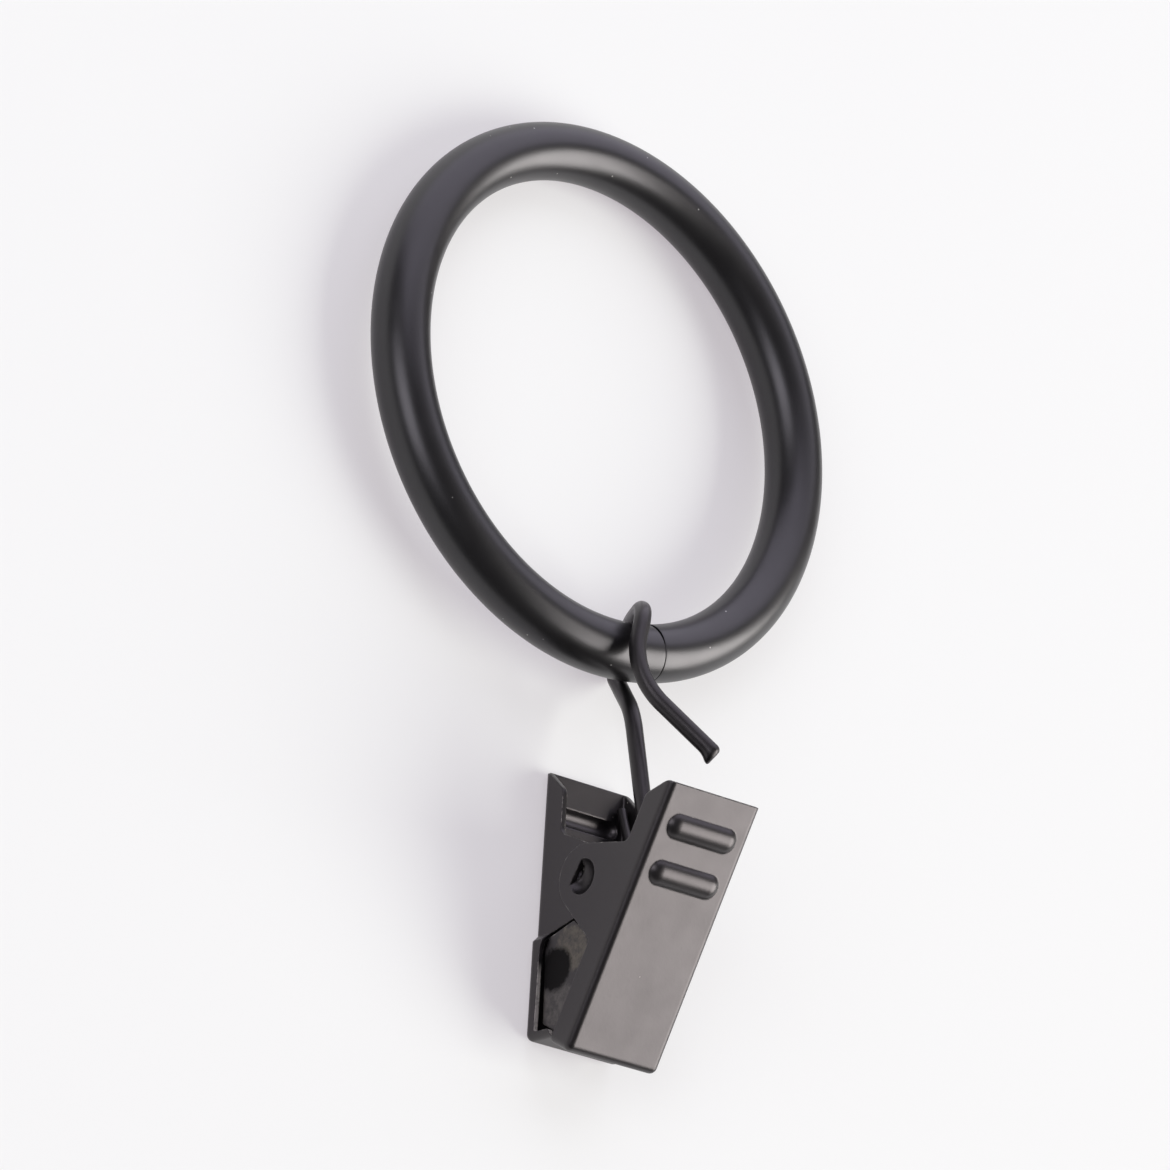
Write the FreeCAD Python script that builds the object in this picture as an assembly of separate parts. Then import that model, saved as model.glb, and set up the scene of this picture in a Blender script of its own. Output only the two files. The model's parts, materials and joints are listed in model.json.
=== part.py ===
"""Curtain ring with clip: a bent-tube ring, a wire hook over it and a sprung two-jaw clip below.

Millimetres. The origin is the ring's centre, the rod runs along Y, +Z is up and the clip's front
face looks towards -Y. The jaws are closed and the hook hangs a little off the ring's lowest point.
"""
import FreeCAD, Part
import os
from math import acos, atan2, cos, degrees, hypot, pi, radians, sin, sqrt, tan

V = FreeCAD.Vector
ORIGIN = V(0, 0, 0)
X_AXIS = V(1, 0, 0)

# Ring: steel tube bent round and butted end to end
ring_inner_diameter = 38.0
tube_diameter = 4.8
tube_wall = 0.6
seam_angle = 13.0            # from the lowest point towards +X
seam_gap = 0.12
seam_mouth = 0.40            # the butt gapes on the inside of the bend

# Hook: one length of round wire, sizes from the centre of the tube it hangs on
wire_diameter = 1.4
seat_angle = 7.3             # where the hook hangs, from the ring's lowest point towards +X
seat_clearance = 0.15
arch_back_shift = 2.8        # the arch crosses the tube slantwise, its back further along +X
arch_front_shift = 0.75      # and its front on the -X side
back_leg_shift = 1.95
back_leg_out = 0.35
back_leg_drop = 0.9
front_leg_shift = 2.6
front_leg_lean = 0.2
front_leg_drop = 3.2
tail_shift = 6.02
tail_forward = 3.1
tail_drop = 6.18
shank_top_drop = 5.43
shank_top_forward = 0.71
shank_bend_radius = 5.0
back_bend_radius = 1.2
arch_bend_radius = 3.0
tail_bend_radius = 6.0
hang_length = 20.36          # from the tube's centre down to the clip's pivot
eye_clearance = 0.10
eye_end_gap = 0.15           # between the cut end of the eye and the shank

# Torsion spring: coil round the pivot with two straight arms
spring_wire_diameter = 0.8
coil_inner_radius = 1.4
coil_whole_turns = 6
coil_end_clearance = 0.20    # between the coil and the rear ears
arm_reach = 8.3              # how far above the pivot each arm meets its handle
arm_clearance = 0.04
knuckle_swell = 0.012       # where an arm is bent out of the coil

# Sheet of both jaws
sheet = 0.45
fold_radius = 0.6
clip_width = 9.6
side_clearance = 0.05        # between the sheets where one jaw slides inside the other
plate_corner = 0.35          # upper corners of each plate
ear_fillet = 0.8
edge_round = 0.3
lip_gap = 0.12

# Front jaw: heights run along the plate from the pivot, depths inwards from its outer face
front_lean = 33.0
front_depth = 6.18           # to the pivot
front_top = 10.06
front_bottom = -12.88
front_flange = 2.45
front_ear_radius = 2.75
front_ear_base = 4.2         # half height of the ear where it leaves the flange
wing_top = -4.1
wing_corners = [(5.7, -3.5), (7.75, -5.65), (7.7, -6.75), (4.6, -12.0)]

# Rear jaw: the same way of measuring
rear_lean = 5.0
rear_depth = 5.9
rear_top = 9.8
rear_bottom = -12.6
rear_flange = 2.4
rear_ear_radius = 2.65
rear_ear_base = 4.35
step_top = -3.9
step_height = 0.5
rear_low_corners = [(1.66, -3.97), (1.22, -5.1)]
rear_foot_flange = 1.15

# Upper corners of the flanges, sloped off for the fingers
slope_start = 0.5
slope_drop = 1.8
slope_round = 0.8

# Pivot: dimples lanced inwards in the front ears
dimple_radius = 1.5
dimple_depth = 1.0
dimple_wall = 0.35
dimple_chord = 0.95          # the lance is cut this far from the pivot
dimple_turn = 38.0           # of the cut's direction, from the back upwards
pivot_clearance = 0.06

# Ribs pressed outwards in the handles
rib_length = 7.2
rib_width = 2.1
rib_height = 0.55
rib_first = 3.3              # below the plate's top edge
rib_pitch = 3.9
rib_count = 2

tube_radius = tube_diameter / 2
wire_radius = wire_diameter / 2
ring_radius = ring_inner_diameter / 2 + tube_radius
spring_radius = spring_wire_diameter / 2
coil_radius = coil_inner_radius + spring_radius
eye_radius = coil_radius + spring_radius + eye_clearance + wire_radius
half_width = clip_width / 2
inner_half_width = half_width - sheet - side_clearance
seat = V(ring_radius * sin(radians(seat_angle)), 0, -ring_radius * cos(radians(seat_angle)))
pivot = seat - V(0, 0, hang_length)
dimple_curve = (dimple_radius ** 2 + dimple_depth ** 2) / (2 * dimple_depth)
dimple_centre = half_width + dimple_curve - dimple_depth
boss_curve = dimple_curve + dimple_wall
ear_hole_radius = sqrt(boss_curve ** 2 - (dimple_centre - inner_half_width) ** 2) + pivot_clearance


def ring_point(angle, radius):
    """A point in the ring's plane, by its angle from the lowest point."""
    return V(radius * sin(radians(angle)), 0, -radius * cos(radians(angle)))


def turned(pair, lean):
    """A (y, z) pair of an upright jaw, turned to the jaw's lean."""
    y, z = pair
    angle = radians(lean)
    return (y * cos(angle) - z * sin(angle), y * sin(angle) + z * cos(angle))


def tangent_from(point, radius, side):
    """Where a line from a (y, z) point touches a circle round the pivot, on one side or the other."""
    y, z = point
    angle = atan2(z, y) + side * acos(radius / hypot(y, z))
    return (radius * cos(angle), radius * sin(angle))


def at_pivot(pair, x=0.0):
    """A (y, z) pair measured from the pivot."""
    return V(x, pair[0], pair[1])


def line(first, last):
    return Part.LineSegment(first, last).toShape()


def bent_run(points, radii):
    """Straight runs through the points, each inner corner rounded by its own radius."""
    edges = []
    here = points[0]
    for before, corner, after, radius in zip(points, points[1:], points[2:], radii):
        into = (corner - before).normalize()
        out = (after - corner).normalize()
        turn = acos(into.dot(out))
        set_back = radius * tan(turn / 2)
        crown = corner + (out - into).normalize() * (radius / cos(turn / 2) - radius)
        edges.append(line(here, corner - into * set_back))
        edges.append(Part.Arc(corner - into * set_back, crown, corner + out * set_back).toShape())
        here = corner + out * set_back
    edges.append(line(here, points[-1]))
    return edges


def sweep_wire(edges, radius):
    """Draws a round wire along a smooth path."""
    first = edges[0]
    start = first.valueAt(first.FirstParameter)
    section = Part.makeCircle(radius, start, first.tangentAt(first.FirstParameter))
    return Part.Wire(edges).makePipeShell([Part.Wire(section)], True, False)


def make_ring():
    """Bends the tube round and leaves a hairline butt joint that gapes on the inside."""
    gap_angle = degrees(seam_gap / ring_radius)
    start = seam_angle + gap_angle / 2
    along = V(cos(radians(start)), 0, sin(radians(start)))
    middle = ring_point(start, ring_radius)
    outer = Part.Wire(Part.makeCircle(tube_radius, middle, along))
    inner = Part.Wire(Part.makeCircle(tube_radius - tube_wall, middle, along))
    section = Part.makeFace([outer, inner], "Part::FaceMakerBullseye")
    tube = section.revolve(ORIGIN, V(0, -1, 0), 360 - gap_angle)
    inside = ring_radius - tube_radius - seam_mouth
    mouth_half = degrees(seam_mouth / 2 / inside)
    wedge = Part.Face(Part.makePolygon([
        ring_point(seam_angle, ring_radius),
        ring_point(seam_angle - mouth_half, inside),
        ring_point(seam_angle + mouth_half, inside),
        ring_point(seam_angle, ring_radius),
    ])).extrude(V(0, tube_diameter, 0))
    wedge.translate(V(0, -tube_radius, 0))
    return tube.cut(wedge)


def make_hook():
    """Open arch over the tube, bent shank, and an eye that closes round the spring's coil."""
    loop = tube_radius + wire_radius + seat_clearance
    tangent_rise = tan(radians(seat_angle))

    def on_seat(x, y, z):
        return seat + V(x, y, z + x * tangent_rise)

    shank_top = (-shank_top_forward, hang_length - shank_top_drop)
    touch = tangent_from(shank_top, eye_radius, +1)
    touch_angle = atan2(touch[1], touch[0])
    end_turn = acos(1 - (wire_diameter + eye_end_gap) / eye_radius)

    def on_eye(angle):
        return pivot + at_pivot((eye_radius * cos(angle), eye_radius * sin(angle)))

    eye_end = touch_angle - end_turn
    eye = Part.Arc(on_eye(eye_end), on_eye(eye_end / 2 + touch_angle / 2 + pi), on_eye(touch_angle))
    front_leg = on_seat(-front_leg_shift, -loop - front_leg_lean, -front_leg_drop)
    corners = [
        pivot + at_pivot(touch),
        pivot + at_pivot(shank_top),
        on_seat(back_leg_shift, loop + back_leg_out, -back_leg_drop),
        on_seat(arch_back_shift, loop, loop),
        on_seat(-arch_front_shift, -loop, loop),
        front_leg,
        front_leg + V(tail_shift, -tail_forward, -tail_drop),
    ]
    radii = [shank_bend_radius, back_bend_radius, arch_bend_radius, arch_bend_radius, tail_bend_radius]
    return sweep_wire([eye.toShape()] + bent_run(corners, radii), wire_radius)


def make_spring():
    """Coil along the pivot with an arm under the front handle and an arm along the rear handle."""
    front_end = turned((-(front_depth - sheet - spring_radius - arm_clearance), arm_reach), front_lean)
    rear_end = turned((rear_depth - sheet - spring_radius - arm_clearance, arm_reach), rear_lean)
    front_touch = tangent_from(front_end, coil_radius, +1)
    rear_touch = tangent_from(rear_end, coil_radius, -1)
    start = atan2(front_touch[1], front_touch[0])
    part_turn = (atan2(rear_touch[1], rear_touch[0]) - start) % (2 * pi) / (2 * pi)
    length = 2 * (inner_half_width - sheet - coil_end_clearance - spring_radius)
    helix = Part.makeHelix(length / (coil_whole_turns + part_turn), length, coil_radius)
    helix.rotate(ORIGIN, V(0, 0, 1), degrees(start))
    helix.rotate(ORIGIN, V(1, 1, 1), 120)
    helix.translate(V(-length / 2, 0, 0))
    first = helix.Edges[0]
    start_point = first.valueAt(first.FirstParameter)
    section = Part.makeCircle(spring_radius, start_point, first.tangentAt(first.FirstParameter))
    spring = Part.Wire(helix.Edges).makePipeShell([Part.Wire(section)], True, True)
    arms = []
    for touch, end, x in ((front_touch, front_end, -length / 2), (rear_touch, rear_end, length / 2)):
        arm = at_pivot(end, x) - at_pivot(touch, x)
        knuckle = Part.makeSphere(spring_radius + knuckle_swell, at_pivot(touch, x))
        rod = Part.makeCylinder(spring_radius, arm.Length, at_pivot(touch, x), arm)
        arms.append(knuckle.fuse(rod))
    spring = spring.fuse(arms)
    spring.translate(pivot)
    return spring


def channel(half, face, inward, height):
    """Section of a jaw at one height: the plate and a flange folded in at each side."""
    def at(x, depth):
        return V(x, face + inward * depth, height)

    deep = front_depth + front_ear_radius + fold_radius
    inside = half - sheet
    outer = [at(-half, deep), at(-half, 0), at(half, 0), at(half, deep)]
    inner = [at(inside, deep), at(inside, sheet), at(-inside, sheet), at(-inside, deep)]
    edges = bent_run(outer, [fold_radius] * 2) + [line(outer[-1], inner[0])]
    edges += bent_run(inner, [fold_radius - sheet] * 2) + [line(inner[-1], outer[0])]
    return Part.Wire(edges)


def tray(face, inward, bottom, top):
    """Pressed sheet: a plate with a wall drawn in along each side and along the foot."""
    deep = front_depth + front_ear_radius + fold_radius

    def block(inset, radius):
        near = face + inward * inset
        far = face + inward * (deep + inset)
        width = 2 * (half_width - inset)
        corner = V(inset - half_width, min(near, far), bottom + inset)
        box = Part.makeBox(width, deep, top - bottom, corner)
        drawn = []
        for edge in box.Edges:
            middle = edge.CenterOfMass
            if abs(middle.y - far) > sheet and middle.z < corner.z + (top - bottom) - sheet:
                drawn.append(edge)
        return box.makeFillet(radius, drawn)

    return block(0, fold_radius).cut(block(sheet, fold_radius - sheet))


def side_block(edges):
    """A block wider than the clip whose side view is the closed outline."""
    return Part.Face(Part.Wire(edges)).extrude(V(2 * clip_width, 0, 0))


def plate_block(half, top):
    """A block deeper than the clip whose front view has the plate's two rounded upper corners."""
    tall = 3 * top
    box = Part.makeBox(2 * half, 2 * clip_width, tall, V(-half, -clip_width, top - tall))
    upper = []
    for edge in box.Edges:
        middle = edge.CenterOfMass
        if middle.z > top - sheet and abs(middle.x) > half - sheet:
            upper.append(edge)
    return box.makeFillet(plate_corner, upper)


def flange_block(face, inward, depth, top, flange, ear_base, ear_radius, low_corners):
    """Side view of a jaw: sloped upper corner, flange, ear round the pivot, lower flange."""
    def at(pair):
        return V(-clip_width, face + inward * pair[0], pair[1])

    def on_ear(root, side):
        away, height = tangent_from((root[0] - depth, root[1]), ear_radius, side)
        return (depth + away, height)

    outside = -fold_radius
    ear_root = (flange, ear_base)
    above = on_ear(ear_root, -1)
    below = on_ear(low_corners[0], +1)
    upper = [(outside, top), (slope_start, top), (flange, top - slope_drop), ear_root, above]
    lower = [below] + low_corners + [(outside, low_corners[-1][1])]
    edges = bent_run([at(pair) for pair in upper], [edge_round, slope_round, ear_fillet])
    edges.append(Part.Arc(at(above), at((depth + ear_radius, 0)), at(below)).toShape())
    edges += bent_run([at(pair) for pair in lower], [edge_round] * len(low_corners))
    edges.append(line(at(lower[-1]), at(upper[0])))
    return side_block(edges)


def with_ribs(jaw, face, inward, top):
    """Presses the finger ribs out of a plate, hollow behind."""
    curve = ((rib_width / 2) ** 2 + rib_height ** 2) / (2 * rib_height)
    axis_y = face + inward * (curve - rib_height)
    straight = rib_length - rib_width

    def capsule(radius, height):
        ends = [V(-straight / 2, axis_y, height), V(straight / 2, axis_y, height)]
        rod = Part.makeCylinder(radius, straight, ends[0], X_AXIS)
        return rod.fuse([Part.makeSphere(radius, end) for end in ends])

    mid_sheet = face + inward * sheet / 2
    low_y = min(mid_sheet, mid_sheet - inward * rib_width)
    outside = Part.makeBox(clip_width, rib_width, 2 * top, V(-half_width, low_y, -top))
    for number in range(rib_count):
        height = top - rib_first - number * rib_pitch
        jaw = jaw.fuse(capsule(curve, height).common(outside))
        jaw = jaw.cut(capsule(curve - sheet, height))
    return jaw


def make_wings():
    """Two tongues of the front flanges that step in by one sheet and run inside the rear jaw."""
    face = -front_depth
    root = front_flange - sheet

    def at(pair):
        return V(-clip_width, face + pair[0], pair[1])

    corners = [(root, wing_top)] + wing_corners + [(root, wing_corners[-1][1])]
    edges = bent_run([at(pair) for pair in corners], [edge_round] * len(wing_corners))
    outline = side_block(edges + [line(at(corners[-1]), at(corners[0]))])
    step_in = front_flange + side_clearance + sheet
    deep = front_depth + front_ear_radius
    section = [
        (half_width, root), (half_width, front_flange),
        (inner_half_width, step_in), (inner_half_width, deep),
        (inner_half_width - sheet, deep), (inner_half_width - sheet, step_in - sheet / 2),
        (half_width - sheet, front_flange - sheet / 2), (half_width - sheet, root),
        (half_width, root),
    ]
    wings = []
    for side in (-1, 1):
        polygon = Part.makePolygon([V(side * x, face + depth, front_bottom) for x, depth in section])
        wings.append(Part.Face(polygon).extrude(V(0, 0, -front_bottom)).common(outline))
    return wings


def with_dimples(jaw):
    """Lances each front ear along a chord and pushes the pivot's side of the cut inwards."""
    span = 2 * front_depth
    lanced = Part.makeBox(2 * span, span, span, V(-span, dimple_chord - span, -span / 2))
    lanced.rotate(ORIGIN, X_AXIS, dimple_turn - front_lean)
    mid_sheet = half_width - sheet / 2
    inside = Part.makeBox(2 * mid_sheet, span, span, V(-mid_sheet, -span / 2, -span / 2))
    for side in (-1, 1):
        centre = V(side * dimple_centre, 0, 0)
        jaw = jaw.fuse(Part.makeSphere(boss_curve, centre).common(inside).common(lanced))
        jaw = jaw.cut(Part.makeSphere(dimple_curve, centre).common(lanced))
    return jaw


def placed(jaw, lean):
    """Turns an upright jaw to its lean and puts it on the pivot."""
    jaw = jaw.removeSplitter()
    jaw.rotate(ORIGIN, X_AXIS, lean)
    jaw.translate(pivot)
    return jaw


def make_front_jaw():
    """Folded channel with ears, wings, lip, ribs and the lanced pivot dimples."""
    face = -front_depth
    low_corners = [(front_flange, -front_ear_base), (front_flange, front_bottom - fold_radius)]
    jaw = tray(face, 1, front_bottom, front_top)
    jaw = jaw.common(flange_block(face, 1, front_depth, front_top, front_flange, front_ear_base,
                                  front_ear_radius, low_corners))
    jaw = jaw.common(plate_block(half_width, front_top)).fuse(make_wings())
    jaw = with_ribs(jaw, face, 1, front_top)
    return placed(with_dimples(jaw), front_lean)


def make_rear_jaw():
    """Folded channel whose upper half fits inside the front jaw and whose lower half steps out."""
    face = rear_depth
    step_foot = step_top - step_height
    narrow = channel(inner_half_width, face, -1, step_top)
    wide = channel(half_width, face, -1, step_foot)
    upper = Part.Face(narrow).extrude(V(0, 0, rear_top - step_top))
    upper = upper.common(plate_block(inner_half_width, rear_top))
    step = Part.makeLoft([narrow, wide], True, True)
    jaw = upper.fuse([step, tray(face, -1, rear_bottom, step_foot)])
    front_lip = turned((front_flange - front_depth, front_bottom), front_lean)
    lip = rear_depth - turned(front_lip, -rear_lean)[0] - lip_gap
    foot = rear_bottom + fold_radius
    below = rear_bottom - fold_radius
    low_corners = rear_low_corners + [(rear_foot_flange, foot), (lip, foot), (lip, below)]
    jaw = jaw.common(flange_block(face, -1, rear_depth, rear_top, rear_flange, rear_ear_base,
                                  rear_ear_radius, low_corners))
    jaw = with_ribs(jaw, face, -1, rear_top)
    jaw = jaw.cut(Part.makeCylinder(ear_hole_radius, clip_width, V(-half_width, 0, 0), X_AXIS))
    return placed(jaw, rear_lean)


os.makedirs("parts", exist_ok=True)
make_ring().exportStep("parts/ring.step")
make_hook().exportStep("parts/wire_hook.step")
make_front_jaw().exportStep("parts/front_jaw.step")
make_rear_jaw().exportStep("parts/rear_jaw.step")
make_spring().exportStep("parts/torsion_spring.step")
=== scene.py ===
"""Looks of the curtain ring with clip, lying on a white table between softboxes."""

import json
import math

import bpy
import numpy as np
from mathutils import Matrix, Vector


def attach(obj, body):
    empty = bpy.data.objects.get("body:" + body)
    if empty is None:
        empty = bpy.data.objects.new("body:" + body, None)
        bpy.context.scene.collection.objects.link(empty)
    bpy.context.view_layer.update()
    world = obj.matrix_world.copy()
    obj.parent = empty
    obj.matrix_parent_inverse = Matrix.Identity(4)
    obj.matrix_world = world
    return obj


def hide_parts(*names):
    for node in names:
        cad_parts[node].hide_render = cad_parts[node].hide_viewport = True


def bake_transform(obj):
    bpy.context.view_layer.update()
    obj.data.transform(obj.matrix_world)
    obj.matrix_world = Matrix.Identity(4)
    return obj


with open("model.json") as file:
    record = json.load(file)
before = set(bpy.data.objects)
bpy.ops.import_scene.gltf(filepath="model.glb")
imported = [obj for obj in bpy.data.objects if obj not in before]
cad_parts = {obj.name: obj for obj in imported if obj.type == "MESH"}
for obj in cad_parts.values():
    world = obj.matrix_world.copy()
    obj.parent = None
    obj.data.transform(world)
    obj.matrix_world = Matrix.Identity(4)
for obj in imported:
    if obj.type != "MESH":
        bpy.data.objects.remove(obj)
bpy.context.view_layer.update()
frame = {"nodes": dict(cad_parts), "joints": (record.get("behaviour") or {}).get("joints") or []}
mm = 0.001

# Ring: steel tube bent round and butted, painted satin black after bending. The two cut ends meet in
# a hairline that gapes on the inside of the bend, and the paint rounds their edges.
ring_radius = 21.4 * mm
tube_radius = 2.398 * mm
tube_bore = 1.8 * mm
seam_angle = math.radians(13.0)
seam_half = 0.016 * mm
seam_mouth = 0.21 * mm
rim = 0.05 * mm
rim_points = 6
around = 72
along = 420
bore_skip = 3


def linear(code):
    """An sRGB colour such as #1a1a1c as linear red, green, blue and alpha."""
    parts = [int(code[i:i + 2], 16) / 255 for i in (1, 3, 5)]
    return [p / 12.92 if p <= 0.04045 else ((p + 0.055) / 1.055) ** 2.4 for p in parts] + [1.0]


def add(tree, kind, settings=None, **inputs):
    """Adds a node. An input is named by its label with _ for a space, or by in and its number."""
    made = tree.nodes.new(kind)
    for key, value in (settings or {}).items():
        setattr(made, key, value)
    for key, value in inputs.items():
        numbered = key.startswith("in") and key[2:].isdigit()
        socket = made.inputs[int(key[2:]) if numbered else key.replace("_", " ")]
        if isinstance(value, bpy.types.NodeSocket):
            tree.links.new(value, socket)
        else:
            socket.default_value = value
    return made


def new_material(name):
    """An empty material: itself, its tree and its output node."""
    made = bpy.data.materials.new(name)
    made.use_nodes = True
    made.node_tree.nodes.clear()
    return made, made.node_tree, made.node_tree.nodes.new("ShaderNodeOutputMaterial")


def per_metre(size):
    """Scale of a pattern whose cells are about this size."""
    return 1.0 / size


def show(mesh):
    """An object at the origin with this mesh, put in the scene."""
    made = bpy.data.objects.new(mesh.name, mesh)
    bpy.context.scene.collection.objects.link(made)
    return made


rim_turn = np.linspace(0, math.pi / 2, rim_points)
rim_steps = [(rim * (1 - math.cos(t)), tube_radius - rim * (1 - math.sin(t))) for t in rim_turn]
shares = np.linspace(0, 1, along)[1:-1]
stations = [(0.0, inset, radius) for inset, radius in rim_steps]
stations += [(share, 0.0, tube_radius) for share in shares]
stations += [(1.0, -inset, radius) for inset, radius in reversed(rim_steps)]
stations += [(1.0, 0.0, tube_bore)]
stations += [(share, 0.0, tube_bore) for share in shares[::-bore_skip]]
stations += [(0.0, 0.0, tube_bore)]
length = 2 * math.pi * ring_radius
verts = []
for share, inset, radius in stations:
    for turn in 2 * math.pi * np.arange(around) / around:
        gape = seam_half + seam_mouth * max(0.0, -math.cos(turn))
        run = gape + inset + share * (length - 2 * gape)
        angle = seam_angle + run / ring_radius
        reach = ring_radius + radius * math.cos(turn)
        verts.append((reach * math.sin(angle), -radius * math.sin(turn), -reach * math.cos(angle)))
faces = []
for i in range(len(stations)):
    here = i * around
    after = (i + 1) % len(stations) * around
    for j in range(around):
        k = (j + 1) % around
        faces.append((here + j, here + k, after + k, after + j))
ring_mesh = bpy.data.meshes.new("ring_tube")
ring_mesh.from_pydata(verts, [], faces)
ring_mesh.shade_smooth()
ring = show(ring_mesh)

# Satin black stoving paint: near black, a broad soft shine, a faint orange peel and a little dust.
black = "#100f10"
dust_colour = "#b4b2b0"
paint_ior = 1.62
cloud_size = 2.4 * mm
peel_size = 0.4 * mm
peel_depth = 0.02 * mm
dust_spacing = 1.1 * mm
dust_edge = 0.075
dust_core = 0.035
ring_clean_share = 0.84


def dusted(tree, place, clean_share):
    """Mask of scattered specks of dust, with this share of their places left clean."""
    speck = add(tree, "ShaderNodeTexVoronoi", Vector=place, Scale=per_metre(dust_spacing))
    near = add(tree, "ShaderNodeMapRange", Value=speck.outputs["Distance"], From_Min=dust_edge,
               From_Max=dust_core)
    chance = add(tree, "ShaderNodeSeparateColor", Color=speck.outputs["Color"])
    rare = add(tree, "ShaderNodeMath", {"operation": "GREATER_THAN"}, in0=chance.outputs["Red"],
               in1=clean_share)
    return add(tree, "ShaderNodeMath", {"operation": "MULTIPLY"}, in0=near.outputs[0], in1=rare.outputs[0])


paint, tree, out = new_material("satin black stoving paint")
place = add(tree, "ShaderNodeTexCoord").outputs["Object"]
cloud = add(tree, "ShaderNodeTexNoise", Vector=place, Scale=per_metre(cloud_size), Detail=4.0)
gloss = add(tree, "ShaderNodeMapRange", Value=cloud.outputs["Fac"], To_Min=0.30, To_Max=0.40)
peel = add(tree, "ShaderNodeTexNoise", Vector=place, Scale=per_metre(peel_size), Detail=3.0)
bump = add(tree, "ShaderNodeBump", Strength=0.12, Distance=peel_depth, Height=peel.outputs["Fac"])
dust = dusted(tree, place, ring_clean_share)
shade = add(tree, "ShaderNodeMix", {"data_type": "RGBA"}, Factor=dust.outputs[0], in6=linear(black),
            in7=linear(dust_colour))
coat = add(tree, "ShaderNodeBsdfPrincipled", Base_Color=shade.outputs[2], Roughness=gloss.outputs[0],
           IOR=paint_ior, Specular_Tint=linear("#fcf9fd"), Normal=bump.outputs[0])
tree.links.new(coat.outputs[0], out.inputs[0])
ring_mesh.materials.append(paint)
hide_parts("ring")
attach(ring, "ring")

# Hook: one length of round steel wire. It is looped over the tube, crosses in front of itself, ends in
# a tail that was cut with nippers, and closes round the spring's coil in an eye. Painted with the rest.
joints = {joint["name"]: joint for joint in frame["joints"]}
seat = Vector(joints["hook_swing"]["pos_m"])
pivot = Vector(joints["jaw_open"]["pos_m"])
seat_rise = joints["hook_swing"]["axis"][2] / joints["hook_swing"]["axis"][0]
wire_radius = 0.7 * mm
wire_sides = 24
eye_radius = 3.0 * mm
eye_end_gap = 0.15 * mm
eye_points = 60
shank_top = Vector((0.0, -0.71, 14.93)) * mm
back_leg = Vector((1.95, 3.6, -0.9)) * mm
arch_back = Vector((2.8, 3.25, 3.25)) * mm
arch_front = Vector((-0.75, -3.25, 3.25)) * mm
front_leg = Vector((-2.6, -3.45, -3.2)) * mm
tail = Vector((6.22, -3.2, -6.39)) * mm
bend_radii = [5.0 * mm, 1.2 * mm, 3.0 * mm, 3.0 * mm, 6.0 * mm]
bend_step = 0.15 * mm
straight_step = 0.5 * mm
sharp_angle = math.radians(50)
tail_round = 0.5 * mm
tail_clear = 2.6
tail_shares = (2.4, 2.0, 1.6, 1.3, 1.0, 0.7, 0.45, 0.25, 0.12, 0.04, 0.0)
nub_taper = 0.62
burr_reach = 1.3 * mm
burr_size = 0.55 * mm
burr_side = Vector((-0.325, 0.658, -0.687))


def on_seat(offset):
    """A point measured from the tube's centre where the hook sits, along the tube's own slope."""
    return seat + Vector((offset.x, offset.y, offset.z + offset.x * seat_rise))


def tangent_angle(y, z, radius, side):
    """Angle at which a line from a point touches a circle round the pivot."""
    return math.atan2(z, y) + side * math.acos(radius / math.hypot(y, z))


def round_pivot(radius, angle, x=0.0):
    """A point on a circle round the pivot."""
    return pivot + Vector((x, radius * math.cos(angle), radius * math.sin(angle)))


def bent_run(corners, radii, step):
    """Points along straight runs whose corners are rounded, each by its own radius."""
    points = [corners[0]]
    for before, corner, after, radius in zip(corners, corners[1:], corners[2:], radii):
        into = (corner - before).normalized()
        onward = (after - corner).normalized()
        turn = into.angle(onward)
        centre = corner + (onward - into).normalized() * radius / math.cos(turn / 2)
        spoke = corner - into * radius * math.tan(turn / 2) - centre
        count = max(2, math.ceil(radius * turn / step))
        for i in range(count + 1):
            share = turn * i / count
            points.append(centre + spoke * math.cos(share) + into * radius * math.sin(share))
    return points + [corners[-1]]


def filled(points, step):
    """The same run with points no further apart than the step."""
    dense = []
    for here, onward in zip(points, points[1:]):
        count = max(1, math.ceil((onward - here).length / step))
        dense += [here.lerp(onward, i / count) for i in range(count)]
    return dense + [points[-1]]


round_wire = bpy.data.node_groups.new("round_wire", "GeometryNodeTree")
round_wire.interface.new_socket("Path", in_out="INPUT", socket_type="NodeSocketGeometry")
round_wire.interface.new_socket("Wire radius", in_out="INPUT", socket_type="NodeSocketFloat")
round_wire.interface.new_socket("Sides", in_out="INPUT", socket_type="NodeSocketInt")
round_wire.interface.new_socket("Finish", in_out="INPUT", socket_type="NodeSocketMaterial")
round_wire.interface.new_socket("Wire", in_out="OUTPUT", socket_type="NodeSocketGeometry")
given = round_wire.nodes.new("NodeGroupInput").outputs
path = add(round_wire, "GeometryNodeMeshToCurve", Mesh=given["Path"])
along_path = add(round_wire, "GeometryNodeSplineParameter")
path = add(round_wire, "GeometryNodeStoreNamedAttribute", {"data_type": "FLOAT", "domain": "POINT"},
           Geometry=path.outputs[0], Name="run", Value=along_path.outputs["Length"])
section = add(round_wire, "GeometryNodeCurvePrimitiveCircle", Resolution=given["Sides"],
              Radius=given["Wire radius"])
round_section = add(round_wire, "GeometryNodeSplineParameter")
section = add(round_wire, "GeometryNodeStoreNamedAttribute", {"data_type": "FLOAT", "domain": "POINT"},
              Geometry=section.outputs[0], Name="turn", Value=round_section.outputs["Factor"])
drawn = add(round_wire, "GeometryNodeCurveToMesh", Curve=path.outputs[0], Profile_Curve=section.outputs[0],
            Fill_Caps=True)
smooth = add(round_wire, "GeometryNodeSetShadeSmooth", Geometry=drawn.outputs[0])
real = add(round_wire, "GeometryNodeRealizeInstances", Geometry=smooth.outputs[0])
finished = add(round_wire, "GeometryNodeSetMaterial", Geometry=real.outputs[0], Material=given["Finish"])
wire_out = round_wire.nodes.new("NodeGroupOutput")
round_wire.links.new(finished.outputs[0], wire_out.inputs[0])


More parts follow.
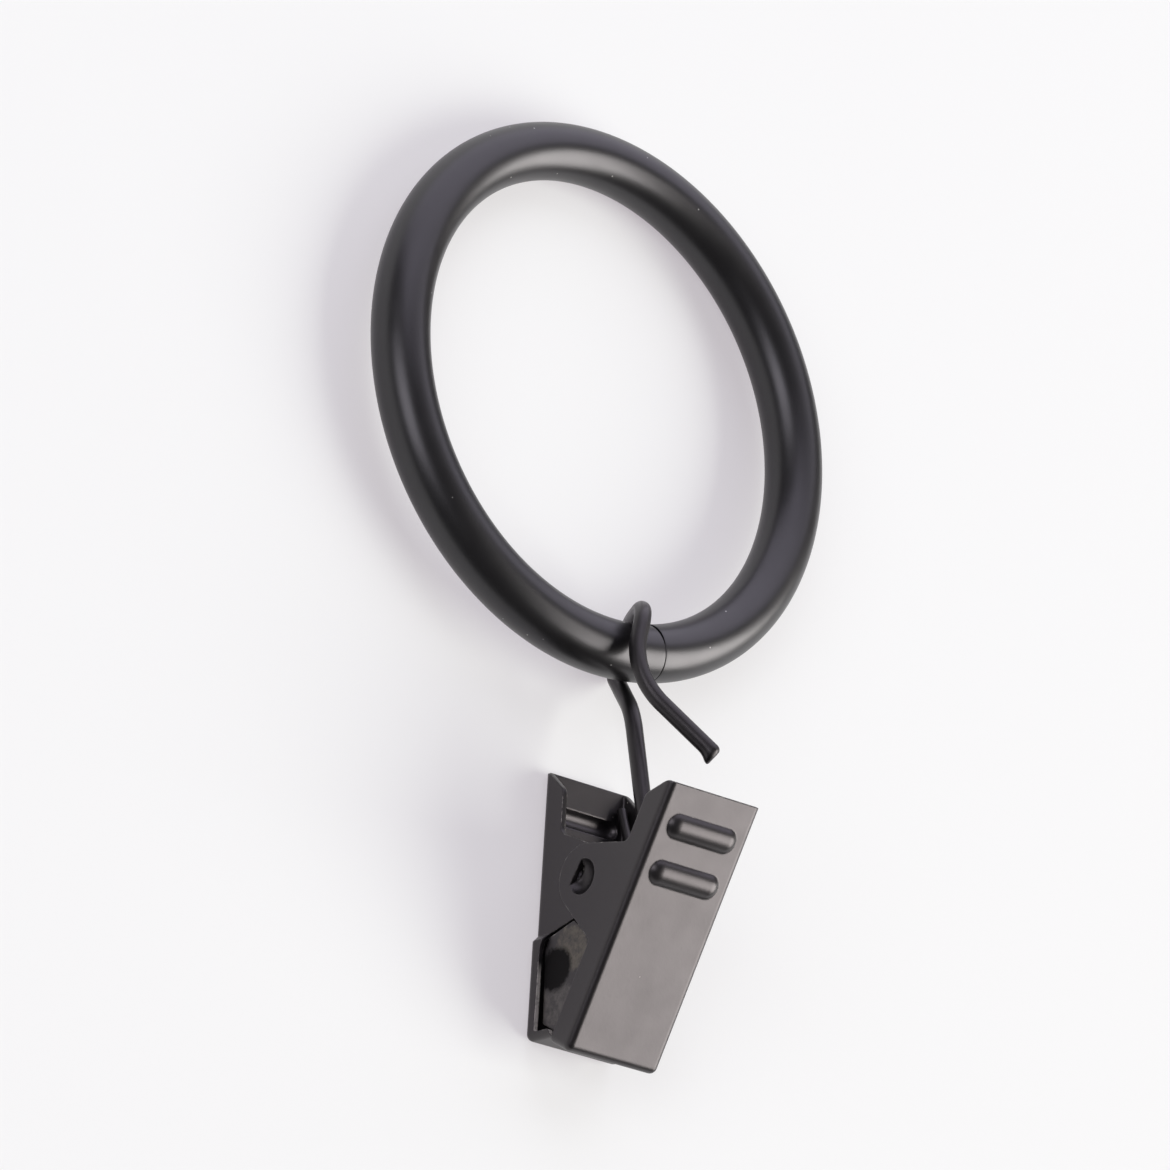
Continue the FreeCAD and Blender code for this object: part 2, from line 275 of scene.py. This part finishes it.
def draw_wire(name, points, radius, sides, finish):
    """Runs the round wire along the points and returns it as a plain mesh object."""
    line = bpy.data.meshes.new(name + "_path")
    line.from_pydata([tuple(p) for p in points], [(i, i + 1) for i in range(len(points) - 1)], [])
    carrier = show(line)
    modifier = carrier.modifiers.new("round_wire", "NODES")
    modifier.node_group = round_wire
    sockets = {item.name: item.identifier for item in round_wire.interface.items_tree}
    modifier[sockets["Wire radius"]] = radius
    modifier[sockets["Sides"]] = sides
    modifier[sockets["Finish"]] = finish
    seen = carrier.evaluated_get(bpy.context.evaluated_depsgraph_get())
    mesh = bpy.data.meshes.new_from_object(seen)
    mesh.name = name
    bpy.data.objects.remove(carrier)
    mesh.set_sharp_from_angle(angle=sharp_angle)
    return show(mesh)


# Painted wire: the same black, duller, with the wire's die lines as faint streaks along it. The top of
# the arch over the tube is painted lighter grey, a painted highlight.
thin_paint = "#2c2b2a"
arch_highlight_grey = "#565355"
streak_length = 5.0 * mm
streaks_across = 14.0
grain_size = 0.35 * mm
grain_depth = 0.03 * mm
# Heights above the seat where the painted highlight on the arch's top begins and where it is full.
highlight_start = 1.6 * mm
highlight_full = 3.9 * mm
wire_paint, tree, out = new_material("satin black paint on drawn wire")
place = add(tree, "ShaderNodeTexCoord").outputs["Object"]
run = add(tree, "ShaderNodeAttribute", {"attribute_name": "run"}).outputs["Fac"]
turn = add(tree, "ShaderNodeAttribute", {"attribute_name": "turn"}).outputs["Fac"]
slow = add(tree, "ShaderNodeMath", {"operation": "MULTIPLY"}, in0=run, in1=per_metre(streak_length))
quick = add(tree, "ShaderNodeMath", {"operation": "PINGPONG"}, in0=turn, in1=0.5)
lines = add(tree, "ShaderNodeMath", {"operation": "MULTIPLY"}, in0=quick.outputs[0], in1=streaks_across)
spread = add(tree, "ShaderNodeCombineXYZ", X=slow.outputs[0], Y=lines.outputs[0])
streak = add(tree, "ShaderNodeTexNoise", Vector=spread.outputs[0], Scale=1.0, Detail=3.0)
gloss = add(tree, "ShaderNodeMapRange", Value=streak.outputs["Fac"], From_Min=0.3, From_Max=0.7,
            To_Min=0.30, To_Max=0.52)
grain = add(tree, "ShaderNodeTexNoise", Vector=place, Scale=per_metre(grain_size), Detail=3.0)
height = add(tree, "ShaderNodeMath", {"operation": "ADD"}, in0=streak.outputs["Fac"],
             in1=grain.outputs["Fac"])
bump = add(tree, "ShaderNodeBump", Strength=0.25, Distance=grain_depth, Height=height.outputs[0])
worn = add(tree, "ShaderNodeMapRange", Value=streak.outputs["Fac"], From_Min=0.62, From_Max=0.75)
shade = add(tree, "ShaderNodeMix", {"data_type": "RGBA"}, Factor=worn.outputs[0], in6=linear(black),
            in7=linear(thin_paint))
# Painted highlight: the arch's top turns lighter grey the higher it rises above the tube.
rise = add(tree, "ShaderNodeSeparateXYZ", Vector=place).outputs["Z"]
arch = add(tree, "ShaderNodeMapRange", Value=rise, From_Min=seat.z + highlight_start,
           From_Max=seat.z + highlight_full, To_Max=0.8)
shade = add(tree, "ShaderNodeMix", {"data_type": "RGBA"}, Factor=arch.outputs[0], in6=shade.outputs[2],
            in7=linear(arch_highlight_grey))
coat = add(tree, "ShaderNodeBsdfPrincipled", Base_Color=shade.outputs[2], Roughness=gloss.outputs[0],
           IOR=paint_ior, Specular_IOR_Level=0.40, Specular_Tint=linear("#fff7fa"), Normal=bump.outputs[0])
tree.links.new(coat.outputs[0], out.inputs[0])

touch = tangent_angle(shank_top.y, shank_top.z, eye_radius, +1)
eye_end = touch - math.acos(1 - (2 * wire_radius + eye_end_gap) / eye_radius)
eye_turn = 2 * math.pi - (touch - eye_end)
eye = [round_pivot(eye_radius, eye_end - eye_turn * i / eye_points) for i in range(eye_points)]
leg_end = on_seat(front_leg)
tail_end = leg_end + tail
tail_way = tail.normalized()
corners = [round_pivot(eye_radius, touch), pivot + shank_top, on_seat(back_leg), on_seat(arch_back),
           on_seat(arch_front), leg_end, tail_end]
points = filled(eye + bent_run(corners, bend_radii, bend_step), straight_step)
points = [point for point in points if (point - tail_end).length > tail_clear * tail_round]
points += [tail_end - tail_way * tail_round * share for share in tail_shares]
hook = draw_wire("wire_hook_bent", points, wire_radius, wire_sides, wire_paint)
for vertex in hook.data.vertices:
    to_end = max(0.0, (tail_end - vertex.co).dot(tail_way))
    out_from = vertex.co - (tail_end - tail_way * to_end)
    if to_end < burr_reach and out_from.length < 2 * wire_radius:
        near_end = max(0.0, 1 - to_end / tail_round)
        nub = 1 - nub_taper * (1 - math.sqrt(1 - near_end ** 2))
        bent = (1 - to_end / burr_reach) ** 2
        lower = 0.5 + 0.5 * out_from.dot(burr_side) / wire_radius
        vertex.co += out_from * (nub - 1) + burr_side * burr_size * bent * lower
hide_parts("wire_hook")
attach(hook, "hook")

# Clip: two jaws stamped from thin steel sheet, folded and drawn, with finger ribs, ears and a lanced
# pivot. The pressing is the shape that the jaws already have, so only its paint is added here.
wing_face = 4.30 * mm
wing_limit = 4.45 * mm
scraped_spots = [(1.8 * mm, -5.4 * mm, 2.1 * mm, "#5b5447", 0.8),
                 (3.7 * mm, -9.4 * mm, 2.1 * mm, "#55514d", 0.7)]
# Depth, height and radius from the pivot of the painted shade in the recess of the left inner wing.
painted_shade_spot = (3.7 * mm, -6.75 * mm, 2.0 * mm)
spot_fray = 1.4 * mm
spot_edge = 0.7 * mm
spot_core = 1.1 * mm
cut_edge_start = 4.36 * mm
cut_edge_full = 4.44 * mm
cut_edge_depth = 3.5 * mm
cut_edge_top = -5.8 * mm
cut_edge_low = -7.0 * mm
cut_facing = -0.6

# Painted sheet: the same black with a soft shine, rounded edges where the paint is worn to the steel,
# a little dust, scraped spots on the left inner wing, and a dark dull spot there that is painted shade.
bare_steel = "#a8a39d"
# Colour of the painted shade in the wing's recess.
painted_shade_black = "#030303"
sheet_cloud_size = 2.2 * mm
sheet_peel_size = 0.32 * mm
scuff_size = 0.7 * mm
scrape_size = 0.6 * mm
edge_radius = 0.20 * mm
clip_clean_share = 0.88
clip_paint, tree, out = new_material("satin black paint on pressed sheet")
place = add(tree, "ShaderNodeTexCoord").outputs["Object"]
cloud = add(tree, "ShaderNodeTexNoise", Vector=place, Scale=per_metre(sheet_cloud_size), Detail=5.0)
gloss = add(tree, "ShaderNodeMapRange", Value=cloud.outputs["Fac"], To_Min=0.31, To_Max=0.42)
peel = add(tree, "ShaderNodeTexNoise", Vector=place, Scale=per_metre(sheet_peel_size), Detail=4.0)
soft_edge = add(tree, "ShaderNodeBevel", {"samples": 8}, Radius=edge_radius)
bump = add(tree, "ShaderNodeBump", Strength=0.20, Distance=peel_depth, Height=peel.outputs["Fac"],
           Normal=soft_edge.outputs[0])
flat = add(tree, "ShaderNodeNewGeometry").outputs["Normal"]
level = add(tree, "ShaderNodeVectorMath", {"operation": "DOT_PRODUCT"}, in0=soft_edge.outputs[0], in1=flat)
edge = add(tree, "ShaderNodeMapRange", Value=level.outputs["Value"], From_Min=0.93, From_Max=0.78)
scuff = add(tree, "ShaderNodeTexNoise", Vector=place, Scale=per_metre(scuff_size), Detail=5.0,
            Roughness=0.7)
scuffed = add(tree, "ShaderNodeMapRange", Value=scuff.outputs["Fac"], From_Min=0.50, From_Max=0.66)
worn = add(tree, "ShaderNodeMath", {"operation": "MULTIPLY"}, in0=edge.outputs[0], in1=scuffed.outputs[0])
dust = dusted(tree, place, clip_clean_share)
bare = add(tree, "ShaderNodeMath", {"operation": "MAXIMUM"}, in0=worn.outputs[0], in1=dust.outputs[0])
off = add(tree, "ShaderNodeVectorMath", {"operation": "SUBTRACT"}, in0=place, in1=pivot)
off = add(tree, "ShaderNodeSeparateXYZ", Vector=off.outputs[0])
side = add(tree, "ShaderNodeMath", {"operation": "ABSOLUTE"}, in0=off.outputs["X"])
inner = add(tree, "ShaderNodeMath", {"operation": "LESS_THAN"}, in0=side.outputs[0], in1=wing_limit)
facing = add(tree, "ShaderNodeSeparateXYZ", Vector=add(tree, "ShaderNodeTexCoord").outputs["Normal"])
cut = add(tree, "ShaderNodeMath", {"operation": "LESS_THAN"}, in0=facing.outputs["Y"], in1=cut_facing)
outer = add(tree, "ShaderNodeMapRange", Value=side.outputs[0], From_Min=cut_edge_start,
            From_Max=cut_edge_full)
rear = add(tree, "ShaderNodeMath", {"operation": "GREATER_THAN"}, in0=off.outputs["Y"], in1=cut_edge_depth)
low = add(tree, "ShaderNodeMapRange", Value=off.outputs["Z"], From_Min=cut_edge_top, From_Max=cut_edge_low)
rub = add(tree, "ShaderNodeMapRange", Value=scuff.outputs["Fac"], From_Min=0.30, From_Max=0.52)
for mask in (outer, rear, low, rub):
    cut = add(tree, "ShaderNodeMath", {"operation": "MULTIPLY"}, in0=cut.outputs[0], in1=mask.outputs[0])
bare = add(tree, "ShaderNodeMath", {"operation": "MAXIMUM"}, in0=bare.outputs[0], in1=cut.outputs[0])
shade = add(tree, "ShaderNodeMix", {"data_type": "RGBA"}, Factor=bare.outputs[0], in6=linear(black),
            in7=linear(bare_steel))
scrape = add(tree, "ShaderNodeTexNoise", Vector=place, Scale=per_metre(scrape_size), Detail=6.0,
             Roughness=0.75)
streaky = add(tree, "ShaderNodeMapRange", Value=scrape.outputs["Fac"], From_Min=0.35, From_Max=0.62)


def wing_spot(y, z, radius, strength):
    """Mask of a ragged spot on the left inner wing, placed from the pivot."""
    spot = pivot + Vector((-wing_face, y, z))
    far = add(tree, "ShaderNodeVectorMath", {"operation": "DISTANCE"}, in0=place, in1=spot)
    ragged = add(tree, "ShaderNodeMath", {"operation": "MULTIPLY_ADD"}, in0=scrape.outputs["Fac"],
                 in1=-spot_fray, in2=far.outputs["Value"])
    within = add(tree, "ShaderNodeMapRange", Value=ragged.outputs[0], From_Min=radius - spot_edge,
                 From_Max=radius - spot_core, To_Max=strength)
    return add(tree, "ShaderNodeMath", {"operation": "MULTIPLY"}, in0=within.outputs[0],
               in1=inner.outputs[0])


for y, z, radius, colour, strength in scraped_spots:
    scraped = add(tree, "ShaderNodeMath", {"operation": "MULTIPLY"}, in1=streaky.outputs[0],
                  in0=wing_spot(y, z, radius, strength).outputs[0])
    shade = add(tree, "ShaderNodeMix", {"data_type": "RGBA"}, Factor=scraped.outputs[0],
                in6=shade.outputs[2], in7=linear(colour))
# Painted shade: a dark spot with less shine, standing for the shade in the recess of the left inner wing.
painted_shade = wing_spot(*painted_shade_spot, 1.0)
shade = add(tree, "ShaderNodeMix", {"data_type": "RGBA"}, Factor=painted_shade.outputs[0], in6=shade.outputs[2],
            in7=linear(painted_shade_black))
gloss = add(tree, "ShaderNodeMath", {"operation": "MULTIPLY_ADD"}, in0=painted_shade.outputs[0], in1=0.3,
            in2=gloss.outputs[0])
shine = add(tree, "ShaderNodeMapRange", Value=painted_shade.outputs[0], To_Min=0.5, To_Max=0.12)
coat = add(tree, "ShaderNodeBsdfPrincipled", Base_Color=shade.outputs[2], Roughness=gloss.outputs[0],
           IOR=paint_ior, Specular_IOR_Level=shine.outputs[0], Specular_Tint=linear("#fff6f9"),
           Normal=bump.outputs[0])
tree.links.new(coat.outputs[0], out.inputs[0])
for name in ("front_jaw", "rear_jaw"):
    jaw = frame["nodes"][name]
    jaw.data.materials.clear()
    jaw.data.materials.append(clip_paint)

# Spring: blackened spring wire wound round the pivot inside the eye, between the rear ears. One arm
# pushes the front handle outwards and the other the rear handle, so the jaws stay shut.
spring_radius = 0.4 * mm
spring_sides = 14
spring_step = 0.6 * mm
coil_radius = 1.8 * mm
coil_half = 3.25 * mm
coil_whole_turns = 6
points_per_turn = 20
arm_reach = 8.3 * mm
front_arm_depth = 5.29 * mm
rear_arm_depth = 5.01 * mm
front_lean = math.radians(33.0)
rear_lean = math.radians(5.0)


def arm_end(depth, lean):
    """Where an arm meets its handle, as y and z from the pivot."""
    y = depth * math.cos(lean) - arm_reach * math.sin(lean)
    z = depth * math.sin(lean) + arm_reach * math.cos(lean)
    return y, z


front_end = arm_end(-front_arm_depth, front_lean)
rear_end = arm_end(rear_arm_depth, rear_lean)
first = tangent_angle(*front_end, coil_radius, +1)
last = tangent_angle(*rear_end, coil_radius, -1)
sweep = coil_whole_turns * 2 * math.pi + (last - first) % (2 * math.pi)
steps = points_per_turn * coil_whole_turns
points = [pivot + Vector((-coil_half, *front_end))]
for i in range(steps + 1):
    share = i / steps
    points.append(round_pivot(coil_radius, first + sweep * share, coil_half * (2 * share - 1)))
points.append(pivot + Vector((coil_half, *rear_end)))
spring = draw_wire("torsion_spring_wound", filled(points, spring_step), spring_radius, spring_sides,
                   wire_paint)
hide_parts("torsion_spring")
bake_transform(spring)

# Table: white card that the part lies on, bent in slight slopes that follow the ring and the clip. Part
# of its white is its own to the eye and in reflections, so that the shadow stays pale. It is one-sided,
# so that the part can be looked at from behind. Its profile is a list of heights and depths in metres.
card_reach = 0.9
own_white = 0.5
profile = [(card_reach, -0.0340), (0.0214, 0.00245), (-0.018, 0.00405), (-0.055, 0.00732),
           (-card_reach, 0.0817)]
table_mesh = bpy.data.meshes.new("white_table")
table_verts = [(x, y, z) for z, y in profile for x in (-card_reach, card_reach)]
table_faces = [(2 * i, 2 * i + 2, 2 * i + 3, 2 * i + 1) for i in range(len(profile) - 1)]
table_mesh.from_pydata(table_verts, [], table_faces)
table_mesh.shade_smooth()
table = show(table_mesh)
white, tree, out = new_material("matt white card")
card = add(tree, "ShaderNodeBsdfDiffuse", Color=linear("#e9f2eb"))
glow = add(tree, "ShaderNodeEmission", Color=linear("#f5ecf3"), Strength=1.0)
light_path = add(tree, "ShaderNodeLightPath")
seen = add(tree, "ShaderNodeMath", {"operation": "MAXIMUM"}, in0=light_path.outputs["Is Camera Ray"],
           in1=light_path.outputs["Is Glossy Ray"])
seen = add(tree, "ShaderNodeMath", {"operation": "MAXIMUM"}, in0=seen.outputs[0],
           in1=light_path.outputs["Is Transmission Ray"])
white_share = add(tree, "ShaderNodeMath", {"operation": "MULTIPLY"}, in0=seen.outputs[0], in1=own_white)
lit = add(tree, "ShaderNodeMixShader", in0=white_share.outputs[0], in1=card.outputs[0], in2=glow.outputs[0])
clear = add(tree, "ShaderNodeBsdfTransparent")
behind = add(tree, "ShaderNodeNewGeometry").outputs["Backfacing"]
sided = add(tree, "ShaderNodeMixShader", in0=behind, in1=lit.outputs[0], in2=clear.outputs[0])
tree.links.new(sided.outputs[0], out.inputs[0])
table_mesh.materials.append(white)

# Light: a large softbox low on the right, a small one on the left and a wide weak one above, in a room
# that is pale to the eye and gives little light.
aim = Vector((0.0, 0.0, -0.02))
room_light = 0.11
room_seen = 1.03


def softbox(name, direction, distance, width, radiance, colour):
    """A square lamp that looks at the part from a direction, as bright to the eye as its radiance."""
    lamp = bpy.data.lights.new(name, "AREA")
    lamp.size = width
    lamp.energy = radiance * math.pi * width ** 2
    lamp.color = linear(colour)[:3]
    way = Vector(direction).normalized()
    placed = bpy.data.objects.new(name, lamp)
    placed.matrix_world = way.to_track_quat("Z", "Y").to_matrix().to_4x4()
    placed.location = aim + way * distance
    bpy.context.scene.collection.objects.link(placed)


softbox("key softbox", (0.784, -0.542, -0.303), 1.60, 1.24, 7.4, "#fffcf8")
softbox("left softbox", (-0.80, -0.59, -0.04), 0.80, 0.48, 3.3, "#f6f4fc")
softbox("upper softbox", (0.10, -0.40, 0.91), 1.00, 1.75, 1.5, "#f2eeff")
world = bpy.data.worlds.new("pale room")
bpy.context.scene.world = world
world.use_nodes = True
tree = world.node_tree
tree.nodes.clear()
light_path = add(tree, "ShaderNodeLightPath")
strength = add(tree, "ShaderNodeMapRange", Value=light_path.outputs["Is Camera Ray"], To_Min=room_light,
               To_Max=room_seen)
room = add(tree, "ShaderNodeBackground", Color=linear("#f6f5f7"), Strength=strength.outputs[0])
world_out = tree.nodes.new("ShaderNodeOutputWorld")
tree.links.new(room.outputs[0], world_out.inputs[0])

# Camera: a long lens that looks down on the table, so at the hanging part from its left and below.
azimuth = math.radians(-41.6)
elevation = math.radians(-21.9)
distance = 0.651
centre_right = 1.30 * mm
centre_up = 14.98 * mm
outward = math.cos(elevation)
back = Vector((math.sin(azimuth) * outward, -math.cos(azimuth) * outward, math.sin(elevation)))
right = Vector((math.cos(azimuth), math.sin(azimuth), 0.0))
up = back.cross(right)
camera = bpy.data.cameras.new("camera")
camera.sensor_width = 36.0
camera.lens = 246.15
camera.clip_start = 0.05
camera.clip_end = 10.0
viewer = bpy.data.objects.new("camera", camera)
viewer.matrix_world = Matrix((right, up, back)).transposed().to_4x4()
viewer.location = back * distance - right * centre_right - up * centre_up
bpy.context.scene.collection.objects.link(viewer)
bpy.context.scene.camera = viewer
bpy.context.scene.view_settings.view_transform = "Standard"
